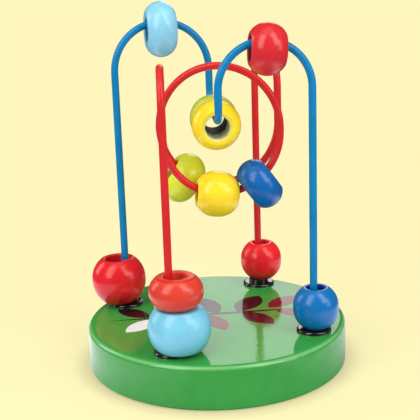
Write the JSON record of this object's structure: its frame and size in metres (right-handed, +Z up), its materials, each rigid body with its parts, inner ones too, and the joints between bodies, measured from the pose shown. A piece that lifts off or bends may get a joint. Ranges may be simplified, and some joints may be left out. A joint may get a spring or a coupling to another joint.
{
  "type": "bead maze",
  "caption": "Wooden bead maze: two bent coated wires with arches, a valley and a coil stand on a round green base and carry drilled painted beads that slide along them.",
  "frame": {"origin": "centre of the base's underside, on the table", "axes": "+Z up, +X from the blue wire's left foot to its right foot, the red wire's front foot is at -Y"},
  "size_m": [0.1039, 0.1012, 0.1368],
  "materials": {
    "base_green": "glossy green paint with a printed top",
    "wire_blue": "glossy blue coating",
    "wire_red": "glossy red coating",
    "bushing_black": "glossy black",
    "bead_sky": "glossy light blue paint",
    "bead_red": "glossy red paint",
    "bead_lime": "glossy lime paint",
    "bead_yellow": "glossy yellow paint",
    "bead_blue": "glossy dark blue paint",
    "bead_orange": "glossy orange-red paint"
  },
  "bodies": {
    "frame": {"base": "base_green", "blue_wire": "wire_blue", "red_wire": "wire_red", "left_bushing": "bushing_black", "right_bushing": "bushing_black", "front_bushing": "bushing_black", "back_bushing": "bushing_black"},
    "sky_arch_bead": {"sky_arch_bead": "bead_sky"},
    "red_arch_bead": {"red_arch_bead": "bead_red"},
    "lime_valley_bead": {"lime_valley_bead": "bead_lime"},
    "yellow_valley_bead": {"yellow_valley_bead": "bead_yellow"},
    "lime_coil_bead": {"lime_coil_bead": "bead_lime"},
    "yellow_coil_bead": {"yellow_coil_bead": "bead_yellow"},
    "blue_coil_bead": {"blue_coil_bead": "bead_blue"},
    "red_left_bead": {"red_left_bead": "bead_red"},
    "sky_front_bead": {"sky_front_bead": "bead_sky"},
    "orange_front_bead": {"orange_front_bead": "bead_orange"},
    "red_back_bead": {"red_back_bead": "bead_red"},
    "blue_right_bead": {"blue_right_bead": "bead_blue"}
  },
  "joints": [
    {"name": "sky_arch_slide", "type": "hinge", "parent": "frame", "child": "sky_arch_bead", "pos_m": [-0.02593, 0.01141, 0.1104], "axis": [-0.6165, 0.7874, 0], "range_deg": [-75, 75]},
    {"name": "red_arch_slide", "type": "hinge", "parent": "frame", "child": "red_arch_bead", "pos_m": [0.02643, -0.00911, 0.1076], "axis": [-0.5435, 0.8394, 0], "range_deg": [-79, 66]},
    {"name": "yellow_valley_slide", "type": "slide", "parent": "frame", "child": "yellow_valley_bead", "axis": [-0.5, 0.866, 0], "range_m": [0, 0.0035]},
    {"name": "lime_valley_slide", "type": "slide", "parent": "yellow_valley_bead", "child": "lime_valley_bead", "axis": [-0.5, 0.866, 0], "range_m": [0, 0.0035]},
    {"name": "yellow_coil_slide", "type": "hinge", "parent": "frame", "child": "yellow_coil_bead", "pos_m": [0.00717, -0.00519, 0.0896], "axis": [0.5771, -0.8167, 0], "range_deg": [0, 20]},
    {"name": "blue_coil_slide", "type": "hinge", "parent": "yellow_coil_bead", "child": "blue_coil_bead", "pos_m": [0.00717, -0.00519, 0.0896], "axis": [0.5771, -0.8167, 0], "range_deg": [0, 20]},
    {"name": "lime_coil_slide", "type": "hinge", "parent": "frame", "child": "lime_coil_bead", "pos_m": [0.00018, 0.00698, 0.0912], "axis": [0.5716, -0.8205, 0], "range_deg": [-45, 0]},
    {"name": "red_left_slide", "type": "slide", "parent": "frame", "child": "red_left_bead", "axis": [0, 0, 1], "range_m": [0, 0.066]},
    {"name": "sky_front_slide", "type": "slide", "parent": "frame", "child": "sky_front_bead", "axis": [0, 0, 1], "range_m": [0, 0.029]},
    {"name": "orange_front_slide", "type": "slide", "parent": "sky_front_bead", "child": "orange_front_bead", "axis": [0, 0, 1], "range_m": [0, 0.029]},
    {"name": "red_back_slide", "type": "slide", "parent": "frame", "child": "red_back_bead", "axis": [0, 0, 1], "range_m": [0, 0.068]},
    {"name": "blue_right_slide", "type": "slide", "parent": "frame", "child": "blue_right_bead", "axis": [0, 0, 1], "range_m": [0, 0.046]}
  ]
}
